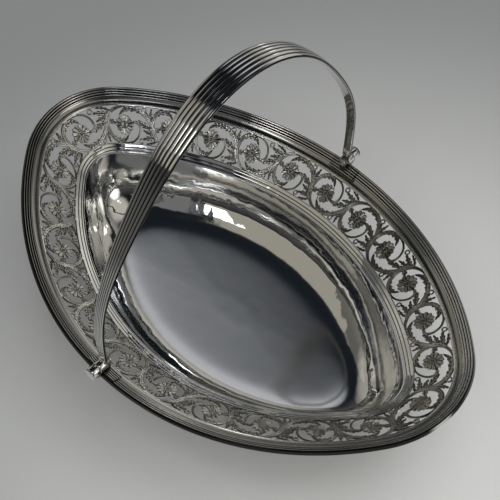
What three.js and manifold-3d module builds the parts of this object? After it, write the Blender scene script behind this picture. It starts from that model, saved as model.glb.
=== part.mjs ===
// A silver swing-handled cake basket of the late eighteenth century form.
// Boat-shaped bowl with a pierced scroll border, reeded rim, reeded swing handle and an oval collet foot.
// Millimetres, +Z up, +X along the basket, hinge axis along Y, origin under the centre of the foot.
import * as THREE from "three";
import * as BufferGeometryUtils from "three/addons/utils/BufferGeometryUtils.js";
import Module from "manifold-3d";

const wasm = await Module();
wasm.setup();

// Rim outline: a pointed oval of four arcs, whose ends rise above its middle
const rimHalfLength = 185;
const rimHalfWidth = 126.3;
const rimTipRadius = 71.4;
const rimHeight = 84;
const rimRise = 23.6;
const risePowerShare = 2.4;

// Border, measured inward from the rim's outer edge
const borderSlopeShare = 0.637;
const endTurnShare = 0.0556;
const sheetThickness = 0.9;
const sheetEdgeInset = 1.5;
const piercedStart = 11.4;
const piercedEnd = 37.8;
const bowlEdge = 44.4;
const seatGap = 0.35;
const panelGap = 0.4;
const baseBow = 0.12;
const drawingWaistShare = 0.03;

// Bowl below the border
const floorDepth = 65.5;
const floorHalfLength = 100;
const floorHalfWidth = 46.8;
const floorTipRadius = 25;
const bowlBeadHeight = 0.5;
const bowlBeadWidth = 1.4;
const wallTurnShares = [0.2, 0.4, 0.6, 0.8, 1];

// Reeded rim wire
const wireWidth = 6.4;
const wireCrown = 1.5;
const wireSkirt = 1.7;
const wireEdgeCover = 1.15;
const wireJointGap = 0.4;

// Collet foot and its reeded edge wire
const footTopHalfLength = 95;
const footTopHalfWidth = 43;
const footTopRadius = 22;
const footFlare = 11;
const footSheet = 1.1;
const footFlareShares = [[0, 1], [0.08, 0.6], [0.36, 0.25], [1, 0]];
const footWireHeight = 4.2;
const footWireWidth = 4.6;
const footReedDepth = 0.58;

// Hinge: lengths along its axis, which starts inside the rim's widest point
const hingeLift = 7.1;
const hingeInset = 8.2;
const innerKnuckleLength = 2.9;
const handleKnuckleLength = 6.5;
const outerKnuckleLength = 5.5;
const knuckleGap = 0.3;
const innerKnuckleRadius = 3.4;
const handleKnuckleRadius = 3.4;
const outerKnuckleRadius = 4.2;
const pinRadius = 1.3;
const pinClearance = 0.3;
const capThickness = 0.9;
const capDome = 0.7;
const capLip = 0.35;

// Hinge bracket: a reeded strap over the rim wire with a block that carries the fixed knuckles
const strapHalfLength = 12;
const strapWidth = 8.2;
const strapThickness = 1.1;
const blockHalfWidth = 3.4;
const gussetInset = 0.55;

// Handle: a reeded strip, wide at the top and narrow at its feet, which stand on the moving knuckles
const handleRise = 175.2;
const handleFootInset = 0.8;
const shoulderShare = 0.0317;
const crownTrimShare = 0.0974;
const handleTopWidth = 18.95;
const handleFootWidth = 6.95;
const widthTrimShare = 0.081;
const handleTopThickness = 2.8;
const handleFootThickness = 2.2;
const handleReedDepth = 0.55;
const tableBottom = 3.75;
const tableTop = 4.9;
const tangHeight = 13;
const tangThickness = 1.2;
const tangHalfWidth = 2.6;
const rivetRadius = 0.9;
const rivetHeadRadius = 1.6;
const rivetHeadHeight = 0.6;
const rivetClearance = 0.25;
const rivetHoleLength = 7.2;

// Scroll piercing, one flower to a repeat
const flowerCount = 24;
const flowersPerPanel = 3;
const stemRadius = 12.2;
const stemWidth = 1.5;
const flowerRadius = 6.9;
const piercedMargin = 1.3;
const stemMargin = 0.3;
const forkHalfWidth = 1.6;
const commaCount = 4;
const commaTurnShare = 0.14;
const commaOuterShares = [0.03, 0.26, 0.49, 0.72];
const commaInnerShares = [[0.5, 0.3], [0.36, 0.45], [0.12, 0]];
const spandrelHeightShares = [0.46, 0.72, 1];
const spandrelTipShare = 0.3;
const forkTipShare = 0.4;

// Facets
const tipSteps = 4;
const sideSteps = 10;
const handleSteps = 36;
const handleReeds = 6;
const rimReeds = 4;
const roundSteps = 16;
const strapSteps = 6;
const edgeStepsPerFlower = 5;
const mergeDistance = 1e-4;
const angleSlack = 1e-4;

const hingeHeight = rimHeight + hingeLift;
const innerKnuckleStart = rimHalfWidth - hingeInset;
const handleKnuckleStart = innerKnuckleStart + innerKnuckleLength;
const outerKnuckleStart = handleKnuckleStart + handleKnuckleLength;
const outerKnuckleEnd = outerKnuckleStart + outerKnuckleLength;
const floorHeight = rimHeight - floorDepth;

// A pointed oval of four arcs: two tips of the given radius joined by two long side arcs.
function oval(halfLength, halfWidth, tipRadius) {
  const square = halfLength * halfLength + halfWidth * halfWidth - 2 * halfLength * tipRadius;
  const sideRadius = square / (2 * (halfWidth - tipRadius));
  const tipCentre = halfLength - tipRadius;
  const sideCentre = sideRadius - halfWidth;
  return { tipRadius, sideRadius, tipCentre, sideCentre, turn: Math.atan2(sideCentre, tipCentre) };
}

// The point of an oval whose outward normal makes the given angle with +X.
function ovalPoint(shape, angle) {
  const c = Math.cos(angle);
  const s = Math.sin(angle);
  const flat = Math.atan2(Math.abs(s), Math.abs(c));
  if (flat < shape.turn) {
    return new THREE.Vector2(Math.sign(c) * shape.tipCentre + shape.tipRadius * c, shape.tipRadius * s);
  }
  return new THREE.Vector2(shape.sideRadius * c, shape.sideRadius * s - Math.sign(s) * shape.sideCentre);
}

const rimOval = oval(rimHalfLength, rimHalfWidth, rimTipRadius);

// How near a normal angle is to a tip: nothing at the basket's middle, one at the tip.
function tipShareAt(angle) {
  return Math.pow(Math.abs(ovalPoint(rimOval, angle).x) / rimHalfLength, risePowerShare);
}

// A point on the sloping border: inset from the rim's edge, as it measures in plan at the
// basket's middle, then raised square to the slope. The slope steepens towards the tips.
function borderPoint(angle, inset, raise) {
  const tipShare = tipShareAt(angle);
  const drop = Math.atan(borderSlopeShare) + endTurnShare * Math.PI * tipShare;
  const width = inset * Math.hypot(1, borderSlopeShare);
  const inward = width * Math.cos(drop) + raise * Math.sin(drop);
  const edge = ovalPoint(rimOval, angle);
  const level = rimHeight + rimRise * tipShare - width * Math.sin(drop) + raise * Math.cos(drop);
  return new THREE.Vector3(edge.x - Math.cos(angle) * inward, edge.y - Math.sin(angle) * inward, level);
}

// Normal angles round the whole oval, closer together at the tips.
function stationAngles() {
  const angles = [];
  const quarter = Math.PI / 2;
  for (let side = 0; side < 4; side += 1) {
    const fromTip = side % 2 === 0;
    const first = fromTip ? tipSteps : sideSteps;
    const second = fromTip ? sideSteps : tipSteps;
    const bend = fromTip ? rimOval.turn : quarter - rimOval.turn;
    for (let i = 0; i < first; i += 1) angles.push(side * quarter + (bend * i) / first);
    for (let i = 0; i < second; i += 1) angles.push(side * quarter + bend + ((quarter - bend) * i) / second);
  }
  return angles;
}

// A closed mesh from points and triangles, turned so that its faces point out.
function closedMesh(points, triangles) {
  let volume = 0;
  for (const [a, b, c] of triangles) {
    volume += points[a].dot(new THREE.Vector3().crossVectors(points[b], points[c]));
  }
  const order = volume < 0 ? triangles.map(([a, b, c]) => [a, c, b]) : triangles;
  const geometry = new THREE.BufferGeometry();
  const numbers = points.flatMap((p) => [p.x, p.y, p.z]);
  geometry.setAttribute("position", new THREE.Float32BufferAttribute(numbers, 3));
  geometry.setIndex(order.flat());
  geometry.computeVertexNormals();
  return geometry;
}

// Joins a row of equal sections. A closed loft meets itself, an open one gets flat ends.
function loft(sections, closed) {
  const size = sections[0].length;
  const points = sections.flat();
  const triangles = [];
  const spans = closed ? sections.length : sections.length - 1;
  for (let s = 0; s < spans; s += 1) {
    const here = s * size;
    const next = ((s + 1) % sections.length) * size;
    for (let i = 0; i < size; i += 1) {
      const j = (i + 1) % size;
      triangles.push([here + i, here + j, next + j], [here + i, next + j, next + i]);
    }
  }
  if (!closed) {
    const last = (sections.length - 1) * size;
    for (const [a, b, c] of sectionFaces(sections[0])) {
      triangles.push([a, c, b]);
    }
    for (const [a, b, c] of sectionFaces(sections.at(-1))) {
      triangles.push([last + a, last + b, last + c]);
    }
  }
  return closedMesh(points, triangles);
}

// Triangles of a flat section, wound as its own outline is.
function sectionFaces(section) {
  const normal = new THREE.Vector3();
  for (let i = 0; i < section.length; i += 1) {
    normal.add(new THREE.Vector3().crossVectors(section[i], section[(i + 1) % section.length]));
  }
  normal.normalize();
  const across = new THREE.Vector3().subVectors(section[1], section[0]).normalize();
  const up = new THREE.Vector3().crossVectors(normal, across);
  const outline = section.map((p) => new THREE.Vector2(p.dot(across), p.dot(up)));
  return THREE.ShapeUtils.triangulateShape(outline, []);
}

// A round-ended stack of rings: the first and last rings close on their centres.
function ringStack(rings, startCentre, endCentre) {
  const size = rings[0].length;
  const points = [startCentre, endCentre, ...rings.flat()];
  const triangles = [];
  const last = 2 + (rings.length - 1) * size;
  for (let i = 0; i < size; i += 1) {
    const j = (i + 1) % size;
    triangles.push([0, 2 + j, 2 + i], [1, last + i, last + j]);
    for (let r = 0; r < rings.length - 1; r += 1) {
      const here = 2 + r * size;
      const next = here + size;
      triangles.push([here + i, here + j, next + j], [here + i, next + j, next + i]);
    }
  }
  return closedMesh(points, triangles);
}

function toSolid(geometry) {
  const plain = geometry.clone();
  plain.deleteAttribute("normal");
  plain.deleteAttribute("uv");
  const merged = BufferGeometryUtils.mergeVertices(plain, mergeDistance);
  const vertProperties = new Float32Array(merged.attributes.position.array);
  const triVerts = new Uint32Array(merged.index.array);
  return new wasm.Manifold(new wasm.Mesh({ numProp: 3, vertProperties, triVerts }));
}

function toGeometry(solid) {
  const mesh = solid.getMesh();
  const geometry = new THREE.BufferGeometry();
  geometry.setAttribute("position", new THREE.Float32BufferAttribute(mesh.vertProperties, 3));
  geometry.setIndex(new THREE.BufferAttribute(mesh.triVerts, 1));
  geometry.computeVertexNormals();
  return geometry;
}

// A prism whose outline lies in the YZ plane, centred on x = 0.
function prismAcross(outline, halfWidth) {
  const shape = new THREE.Shape(outline.map(([y, z]) => new THREE.Vector2(y, z)));
  const geometry = new THREE.ExtrudeGeometry(shape, { depth: 2 * halfWidth, bevelEnabled: false });
  const axes = new THREE.Matrix4().set(0, 0, 1, -halfWidth, 1, 0, 0, 0, 0, 1, 0, 0, 0, 0, 0, 1);
  return geometry.applyMatrix4(axes);
}

// A turned piece along Y at a height, from points of radius and place along its axis.
function lathed(profile, steps, height) {
  const geometry = new THREE.LatheGeometry(profile.map(([r, y]) => new THREE.Vector2(r, y)), steps);
  return geometry.translate(0, 0, height);
}

function turned(profile) {
  return lathed(profile, roundSteps, hingeHeight);
}

function rod(radius, start, end) {
  return turned([[0, start], [radius, start], [radius, end], [0, end]]);
}

function barrel(radius, start, end) {
  const bore = pinRadius + pinClearance;
  return turned([[bore, start], [radius, start], [radius, end], [bore, end], [bore, start]]);
}

// Inset and raise of a reeded top: rounded ridges between two insets.
function reeds(count, start, end, crown) {
  const points = [];
  const pitch = (end - start) / count;
  for (let i = 0; i < count; i += 1) {
    const place = start + pitch * i;
    points.push([place, crown / 2], [place + pitch / 4, crown], [place + (pitch * 3) / 4, crown]);
  }
  points.push([end, crown / 2]);
  return points;
}

const around = stationAngles();

// The raised bowl: a plain flange with a beaded edge, a full wall and a flat oval floor
function bowlGeometry() {
  const floorOval = oval(floorHalfLength, floorHalfWidth, floorTipRadius);
  const flangeStart = piercedEnd + seatGap;
  const topRings = [
    around.map((a) => borderPoint(a, flangeStart, 0)),
    around.map((a) => borderPoint(a, bowlEdge - bowlBeadWidth, 0)),
    around.map((a) => borderPoint(a, bowlEdge - bowlBeadWidth / 2, bowlBeadHeight)),
    around.map((a) => borderPoint(a, bowlEdge, 0)),
  ];
  for (const share of wallTurnShares) {
    const inward = 1 - Math.cos((share * Math.PI) / 2);
    const down = Math.sin((share * Math.PI) / 2);
    topRings.push(around.map((a) => {
      const edge = borderPoint(a, bowlEdge, 0);
      const floor = ovalPoint(floorOval, a);
      const goal = new THREE.Vector3(floor.x, floor.y, floorHeight);
      const wall = edge.clone().lerp(goal, inward);
      wall.z = edge.z + (floorHeight - edge.z) * down;
      return wall;
    }));
  }
  const centre = new THREE.Vector3(0, 0, floorHeight);
  const underRings = topRings.map((ring, r) => ring.map((point, i) => {
    const before = ring.at(i - 1);
    const after = ring[(i + 1) % ring.length];
    const outer = r === 0 ? point : topRings[r - 1][i];
    const inner = r === topRings.length - 1 ? centre : topRings[r + 1][i];
    const along = new THREE.Vector3().subVectors(after, before);
    const last = r === topRings.length - 1;
    const across = new THREE.Vector3().subVectors(inner, last ? point : outer);
    const down = new THREE.Vector3().crossVectors(across, along).normalize();
    return point.clone().addScaledVector(down, sheetThickness);
  }));
  const rings = [...underRings.reverse(), ...topRings];
  return ringStack(rings, centre.clone().setZ(floorHeight - sheetThickness), centre);
}

// Piercing of one repeat, in flat border coordinates: along the border and inward from the rim
const piercedMiddle = (piercedStart + piercedEnd) / 2;
const middleTipLength = (rimTipRadius - piercedMiddle) * rimOval.turn;
const middleSideLength = (rimOval.sideRadius - piercedMiddle) * (Math.PI / 2 - rimOval.turn);
const quarterLength = middleTipLength + middleSideLength;
const repeatLength = (4 * quarterLength) / flowerCount;

// Normal angle at a length along the middle of the pierced band, from the tip on +X.
function angleAtLength(length) {
  const quarters = Math.floor(length / quarterLength);
  const rest = length - quarters * quarterLength;
  const mirrored = Math.abs(quarters % 2) === 1;
  const fromTip = mirrored ? quarterLength - rest : rest;
  const turn = fromTip < middleTipLength
    ? fromTip / (rimTipRadius - piercedMiddle)
    : rimOval.turn + (fromTip - middleTipLength) / (rimOval.sideRadius - piercedMiddle);
  const start = (quarters * Math.PI) / 2;
  return mirrored ? start + Math.PI / 2 - turn : start + turn;
}

// Comma-shaped piercings that curl round a flower inside its ring of stem.
function flowerHoles(centre, hand) {
  const holes = [];
  const gap = stemRadius - stemWidth - flowerRadius;
  const corners = [...commaOuterShares.map((turn) => [turn, 1]), ...commaInnerShares];
  for (let i = 0; i < commaCount; i += 1) {
    const outline = corners.map(([turn, reach]) => {
      const angle = hand * ((i + turn + commaTurnShare) / commaCount) * 2 * Math.PI;
      const radius = flowerRadius + gap * reach;
      return new THREE.Vector2(centre + radius * Math.cos(angle), piercedMiddle + radius * Math.sin(angle));
    });
    holes.push(outline);
  }
  return holes;
}

// Spandrel piercings between two rings: one wide, and a pair that leaves a leaf between them.
// At a joint between panels both sides have the leaf, and only one half lies on the panel.
function spandrelHoles(centre, forkSide, joint) {
  const reach = (piercedEnd - piercedStart) / 2 - piercedMargin;
  const edge = (height) => {
    const inside = Math.min(height, stemRadius - stemMargin);
    return repeatLength / 2 - Math.sqrt((stemRadius + stemMargin) ** 2 - inside ** 2);
  };
  const flank = spandrelHeightShares.map((share) => [edge(share * reach) - stemMargin, share * reach]);
  const apex = spandrelTipShare * reach;
  const base = [[flank.at(-1)[0] / 3, reach + baseBow], [-flank.at(-1)[0] / 3, reach + baseBow]];
  const wide = [[0, apex], ...flank, ...base, ...flank.map(([x, y]) => [-x, y]).reverse()];
  const half = [[forkHalfWidth, forkTipShare * reach], ...flank, [2 * forkHalfWidth, reach]];
  const otherHalf = half.map(([x, y]) => [-x, y]);
  const place = (outline, side) =>
    outline.map(([x, y]) => new THREE.Vector2(centre + x, piercedMiddle + side * y));
  if (joint !== 0) {
    const near = joint > 0 ? half : otherHalf;
    return [place(near, forkSide), place(near, -forkSide)];
  }
  return [place(wide, -forkSide), place(half, forkSide), place(otherHalf, forkSide)];
}

// One panel of the border: a flat pierced sheet, bent round the oval and onto the slope.
// It is drawn slightly waisted, so that no three points lie in line, and evened out as it is bent.
function panelGeometry(panel) {
  const first = panel * flowersPerPanel - (flowersPerPanel - 1) / 2;
  const start = (first - 0.5) * repeatLength + panelGap / 2;
  const end = (first + flowersPerPanel - 0.5) * repeatLength - panelGap / 2;
  const waist = (length) => 1 - drawingWaistShare * Math.sin((Math.PI * (length - start)) / (end - start));
  const draw = (p) => new THREE.Vector2(p.x, piercedMiddle + (p.y - piercedMiddle) * waist(p.x));
  const edgeSteps = edgeStepsPerFlower * flowersPerPanel;
  const outline = [];
  for (let i = 0; i <= edgeSteps; i += 1) {
    outline.push(new THREE.Vector2(start + ((end - start) * i) / edgeSteps, sheetEdgeInset));
  }
  for (let i = edgeSteps; i >= 0; i -= 1) {
    outline.push(new THREE.Vector2(start + ((end - start) * i) / edgeSteps, piercedEnd));
  }
  const holes = [];
  for (let f = 0; f < flowersPerPanel; f += 1) {
    const flower = first + f;
    const hand = flower % 2 === 0 ? 1 : -1;
    holes.push(...flowerHoles(flower * repeatLength, hand));
    if (f < flowersPerPanel - 1) holes.push(...spandrelHoles((flower + 0.5) * repeatLength, hand, 0));
  }
  holes.push(...spandrelHoles((first - 0.5) * repeatLength, 1, 1));
  holes.push(...spandrelHoles((first + flowersPerPanel - 0.5) * repeatLength, 1, -1));
  const shape = new THREE.Shape(outline.map(draw));
  shape.holes = holes.map((hole) => new THREE.Path(hole.map(draw)));
  const sheet = new THREE.ExtrudeGeometry(shape, { depth: sheetThickness, bevelEnabled: false });
  const corners = sheet.attributes.position;
  const plain = new THREE.BufferGeometry().setAttribute("position", corners);
  const merged = BufferGeometryUtils.mergeVertices(plain, mergeDistance);
  const drawn = [];
  for (let i = 0; i < merged.attributes.position.count; i += 1) {
    drawn.push(new THREE.Vector3().fromBufferAttribute(merged.attributes.position, i));
  }
  const triangles = [];
  for (let i = 0; i < merged.index.count; i += 3) {
    triangles.push([merged.index.getX(i), merged.index.getX(i + 1), merged.index.getX(i + 2)]);
  }
  evenTriangles(drawn, triangles);
  return closedMesh(drawn.map((p) => {
    const inset = piercedMiddle + (p.y - piercedMiddle) / waist(p.x);
    return borderPoint(angleAtLength(p.x), inset, p.z - sheetThickness);
  }), triangles);
}

// Turns the shared edges of flat neighbours until no triangle is longer than it needs to be.
function evenTriangles(points, triangles) {
  const angleAt = (tip, a, b) => {
    const first = new THREE.Vector3().subVectors(points[a], points[tip]);
    return first.angleTo(new THREE.Vector3().subVectors(points[b], points[tip]));
  };
  let turned = true;
  while (turned) {
    turned = false;
    const owners = new Map();
    const done = new Set();
    triangles.forEach((corners, t) => {
      corners.forEach((from, c) => owners.set(`${from} ${corners[(c + 1) % 3]}`, t));
    });
    for (const [edge, t] of owners) {
      const [a, b] = edge.split(" ").map(Number);
      const u = owners.get(`${b} ${a}`);
      if (a > b || done.has(t) || done.has(u)) continue;
      const c = triangles[t].find((corner) => corner !== a && corner !== b);
      const d = triangles[u].find((corner) => corner !== a && corner !== b);
      const flat = [b, c, d].every((corner) => points[corner].z === points[a].z);
      if (!flat || angleAt(c, a, b) + angleAt(d, a, b) < Math.PI + angleSlack) continue;
      triangles[t] = [a, d, c];
      triangles[u] = [d, b, c];
      done.add(t).add(u);
      turned = true;
    }
  }
}

// One half of the reeded rim wire, rebated over the edge of the sheet.
function rimWireGeometry(side) {
  const cut = wireJointGap / 2 / rimOval.sideRadius;
  const centre = side > 0 ? 0 : Math.PI;
  const limit = Math.PI / 2 - cut;
  const turns = around.map((a) => (a > Math.PI ? a - 2 * Math.PI : a)).filter((a) => Math.abs(a) < limit);
  const angles = [-limit, ...turns.sort((a, b) => a - b), limit];
  const outline = [
    [0, -wireSkirt],
    ...reeds(rimReeds, 0, wireWidth, wireCrown),
    [wireWidth, seatGap],
    [wireEdgeCover, seatGap],
    [wireEdgeCover, -wireSkirt],
  ];
  const section = (a) => outline.map(([inset, raise]) => borderPoint(centre + a, inset, raise));
  return loft(angles.map(section), false);
}

// The foot: a flared collar under the floor, and the reeded wire round its lower edge
function footOval(spread) {
  return oval(footTopHalfLength + spread, footTopHalfWidth + spread, footTopRadius + spread);
}

function footSection(angle, places) {
  return places.map(([spread, height]) => {
    const point = ovalPoint(footOval(spread), angle);
    return new THREE.Vector3(point.x, point.y, height);
  });
}

function footCollarGeometry() {
  const top = floorHeight - sheetThickness - seatGap;
  const bottom = footWireHeight + seatGap;
  const outer = footFlareShares.map(([out, up]) => [footFlare * out, bottom + (top - bottom) * up]);
  const inner = outer.map(([out, up]) => [out - footSheet, up]).reverse();
  return loft(around.map((a) => footSection(a, [...outer, ...inner])), true);
}

function footWireGeometry() {
  const outer = footFlare + footWireWidth / 4;
  const inner = outer - footWireWidth;
  const outline = [
    [inner, 0],
    [outer, 0],
    [outer + footReedDepth, footWireHeight / 4],
    [outer - footReedDepth, footWireHeight / 2],
    [outer, (footWireHeight * 3) / 4],
    [outer - footWireWidth / 4, footWireHeight],
    [inner, footWireHeight],
  ];
  return loft(around.map((a) => footSection(a, outline)), true);
}

// Hinge bracket: a strap bent over the rim wire, with a gusset and block up to the fixed knuckles
function bracketGeometry() {
  const seat = wireCrown + seatGap;
  const reach = strapHalfLength / rimOval.sideRadius;
  const top = reeds(rimReeds, 0, strapWidth, strapThickness).map(([inset, raise]) => [inset, seat + raise]);
  const outline = [[0, seat], ...top, [strapWidth, seat]];
  const sections = [];
  for (let i = 0; i <= strapSteps; i += 1) {
    const angle = Math.PI / 2 + reach * ((2 * i) / strapSteps - 1);
    sections.push(outline.map(([inset, raise]) => borderPoint(angle, inset, raise)));
  }
  const strap = toSolid(loft(sections, false));
  const inner = innerKnuckleStart;
  const topLevel = hingeHeight - innerKnuckleRadius / 2;
  const strapInner = borderPoint(Math.PI / 2, rimHalfWidth - inner, seat + strapThickness / 4);
  const shoulder = borderPoint(Math.PI / 2, -gussetInset, seat + strapThickness / 4);
  const wireFoot = borderPoint(Math.PI / 2, -gussetInset, -wireSkirt);
  const block = toSolid(prismAcross([
    [inner, strapInner.z],
    [shoulder.y, shoulder.z],
    [wireFoot.y, wireFoot.z],
    [outerKnuckleEnd, hingeHeight - outerKnuckleRadius],
    [outerKnuckleEnd, topLevel],
    [inner, topLevel],
  ], blockHalfWidth));
  const seats = [
    rod(handleKnuckleRadius + 2 * knuckleGap, handleKnuckleStart - knuckleGap, outerKnuckleStart),
    rod(innerKnuckleRadius + seatGap, inner - seatGap, handleKnuckleStart),
    rod(outerKnuckleRadius + seatGap, outerKnuckleStart - knuckleGap, outerKnuckleEnd + seatGap),
  ];
  const headroom = prismAcross([
    [handleKnuckleStart - knuckleGap, hingeHeight - handleKnuckleRadius - knuckleGap],
    [outerKnuckleStart, hingeHeight - handleKnuckleRadius - knuckleGap],
    [outerKnuckleStart, hingeHeight],
    [handleKnuckleStart - knuckleGap, hingeHeight],
  ], 2 * blockHalfWidth);
  let solid = block.add(strap).subtract(toSolid(headroom));
  for (const cutter of seats) solid = solid.subtract(toSolid(cutter));
  return toGeometry(solid);
}

// The domed cap that closes the outer knuckle
function capGeometry() {
  const start = outerKnuckleEnd + seatGap;
  const edge = outerKnuckleRadius + capLip;
  const shoulder = start + capThickness;
  const crown = shoulder + capDome;
  return turned([[0, start], [edge, start], [edge, shoulder], [edge / 2, crown], [0, crown]]);
}

// The hinge pin, headed at its inner end, running through all three knuckles
function pinGeometry() {
  const headStart = innerKnuckleStart - seatGap - capThickness;
  const headEnd = innerKnuckleStart - seatGap;
  const headRadius = innerKnuckleRadius - capLip;
  return turned([
    [0, headStart],
    [headRadius - capLip, headStart],
    [headRadius, headEnd],
    [pinRadius, headEnd],
    [pinRadius, outerKnuckleEnd],
    [0, outerKnuckleEnd],
  ]);
}

// Middle line of the handle: radius and width at an angle up from the hinge axis.
// Each runs from its value at the foot to its value at the top, with broad shoulders between.
function handleRadius(angle) {
  const foot = handleKnuckleStart + handleFootInset;
  const mean = (handleRise + foot) / 2;
  const gain = (handleRise - foot) / 2;
  const shoulder = shoulderShare * mean;
  const trim = crownTrimShare * gain;
  return mean - shoulder - (gain - trim) * Math.cos(2 * angle) + shoulder * Math.cos(4 * angle)
    - trim * Math.cos(6 * angle);
}

function handleWidth(angle) {
  const mean = (handleTopWidth + handleFootWidth) / 2;
  const gain = (handleTopWidth - handleFootWidth) / 2;
  const trim = widthTrimShare * mean;
  return mean - trim - gain * Math.cos(2 * angle) + trim * Math.cos(4 * angle);
}

function handlePoint(angle) {
  const radius = handleRadius(angle);
  return new THREE.Vector3(0, radius * Math.cos(angle), hingeHeight + radius * Math.sin(angle));
}

const handleFootLevel = tableTop + seatGap;
const handleStartAngle = handleFootLevel / handleRadius(0);

// The strip: reeds on the outer face, smooth inside
function handleBandGeometry() {
  const sections = [];
  const sweep = Math.PI - 2 * handleStartAngle;
  for (let i = 0; i <= handleSteps; i += 1) {
    const angle = handleStartAngle + (sweep * i) / handleSteps;
    const middle = handlePoint(angle);
    const small = angleSlack;
    const along = new THREE.Vector3().subVectors(handlePoint(angle + small), handlePoint(angle - small));
    const out = new THREE.Vector3(0, along.z, -along.y).normalize();
    const onFoot = i === 0 || i === handleSteps;
    if (onFoot) out.set(0, Math.sign(middle.y), 0);
    const half = handleWidth(angle) / 2;
    const thickness = handleFootThickness + (handleTopThickness - handleFootThickness) * Math.sin(angle);
    const seat = thickness / 2 - handleReedDepth;
    const top = reeds(handleReeds, -half, half, handleReedDepth).map(([x, raise]) => [x, seat + raise]);
    const outline = [...top, [half, -thickness / 2], [-half, -thickness / 2]];
    const corner = ([x, raise]) => middle.clone().setX(x).addScaledVector(out, raise);
    sections.push(outline.map(corner));
  }
  return loft(sections, false);
}

// The moving knuckle with its table under the strip and its tang behind the strip
const footMiddle = handlePoint(handleStartAngle).y;
const tangFace = footMiddle - handleFootThickness / 2 - seatGap;
const rivetLevel = hingeHeight + tangHeight - 2 * rivetHeadRadius;

function handleKnuckleGeometry() {
  const end = outerKnuckleStart - knuckleGap;
  const stripFace = tangFace;
  const lean = handlePoint((tangHeight + seatGap) / handleRadius(0)).y - footMiddle;
  const table = prismAcross([
    [stripFace - tangThickness, hingeHeight + tableBottom],
    [handleKnuckleStart, hingeHeight + tableBottom],
    [handleKnuckleStart, hingeHeight],
    [end - knuckleGap, hingeHeight],
    [end - knuckleGap, hingeHeight + handleKnuckleRadius],
    [footMiddle + handleFootThickness, hingeHeight + tableTop],
    [stripFace, hingeHeight + tableTop],
    [stripFace + lean, hingeHeight + tangHeight],
    [stripFace + lean - tangThickness, hingeHeight + tangHeight],
  ], tangHalfWidth);
  const shell = rod(handleKnuckleRadius, handleKnuckleStart, end);
  const bore = rod(pinRadius + pinClearance, handleKnuckleStart - seatGap, end + seatGap);
  const holeRadius = rivetRadius + rivetClearance;
  const holeStart = stripFace - rivetHoleLength / 2;
  const holeEnd = stripFace + rivetHoleLength / 2;
  const holeOutline = [[0, holeStart], [holeRadius, holeStart], [holeRadius, holeEnd], [0, holeEnd]];
  const hole = lathed(holeOutline, roundSteps / 2, rivetLevel);
  return toGeometry(toSolid(shell).add(toSolid(table)).subtract(toSolid(bore)).subtract(toSolid(hole)));
}

// A rivet head on the inside of the tang, at each foot of the handle
function rivetGeometry() {
  const lean = handlePoint((rivetLevel - hingeHeight) / handleRadius(0)).y - footMiddle;
  const tangBack = tangFace + lean - tangThickness;
  const headFace = tangBack - seatGap;
  const tip = tangFace + lean - seatGap / 2;
  const headTop = headFace - rivetHeadHeight;
  const profile = [
    [0, headTop],
    [rivetHeadRadius / 2, headTop],
    [rivetHeadRadius, headFace],
    [rivetRadius, headFace],
    [rivetRadius, tip],
    [0, tip],
  ];
  return lathed(profile, roundSteps / 2, rivetLevel);
}

const silver = () => new THREE.MeshStandardMaterial({ color: 0xc9c8c4, roughness: 0.12, metalness: 1 });
const darkSilver = () => new THREE.MeshStandardMaterial({ color: 0x9d9a92, roughness: 0.3, metalness: 1 });

const basket = new THREE.Group();

function place(name, geometry, material, turn = 0) {
  const mesh = new THREE.Mesh(geometry, material);
  mesh.name = name;
  mesh.rotation.z = turn;
  basket.add(mesh);
}

place("bowl", bowlGeometry(), silver());
for (let panel = 0; panel < flowerCount / flowersPerPanel; panel += 1) {
  place(`border_panel_${panel + 1}`, panelGeometry(panel), darkSilver());
}
place("rim_wire_right", rimWireGeometry(1), silver());
place("rim_wire_left", rimWireGeometry(-1), silver());
place("foot_collar", footCollarGeometry(), silver());
place("foot_wire", footWireGeometry(), silver());
place("handle_band", handleBandGeometry(), silver());
for (const [side, turn] of [["back", 0], ["front", Math.PI]]) {
  place(`hinge_bracket_${side}`, bracketGeometry(), silver(), turn);
  const innerEnd = handleKnuckleStart - knuckleGap;
  place(`inner_knuckle_${side}`, barrel(innerKnuckleRadius, innerKnuckleStart, innerEnd), silver(), turn);
  const outer = barrel(outerKnuckleRadius, outerKnuckleStart, outerKnuckleEnd);
  place(`outer_knuckle_${side}`, outer, silver(), turn);
  place(`hinge_cap_${side}`, capGeometry(), silver(), turn);
  place(`hinge_pin_${side}`, pinGeometry(), darkSilver(), turn);
  place(`handle_knuckle_${side}`, handleKnuckleGeometry(), silver(), turn);
  place(`handle_rivet_${side}`, rivetGeometry(), darkSilver(), turn);
}

export default basket;
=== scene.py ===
import math
import bmesh
import bpy
import numpy as np
from mathutils import Matrix, Vector


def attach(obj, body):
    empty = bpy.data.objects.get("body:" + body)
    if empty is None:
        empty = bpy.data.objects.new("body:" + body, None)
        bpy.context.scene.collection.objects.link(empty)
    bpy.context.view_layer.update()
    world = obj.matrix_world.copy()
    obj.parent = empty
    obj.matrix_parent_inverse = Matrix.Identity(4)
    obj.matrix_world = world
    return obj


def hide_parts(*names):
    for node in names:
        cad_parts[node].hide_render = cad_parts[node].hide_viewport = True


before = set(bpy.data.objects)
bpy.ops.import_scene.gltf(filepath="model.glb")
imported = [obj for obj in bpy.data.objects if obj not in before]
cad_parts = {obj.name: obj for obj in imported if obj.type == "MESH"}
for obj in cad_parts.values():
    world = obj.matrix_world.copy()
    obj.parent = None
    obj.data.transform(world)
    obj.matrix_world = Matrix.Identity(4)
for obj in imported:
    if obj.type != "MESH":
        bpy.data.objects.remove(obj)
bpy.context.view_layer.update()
print("frame loaded:", len(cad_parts), "nodes")

mm = 0.001      # sizes below are in millimetres

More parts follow.
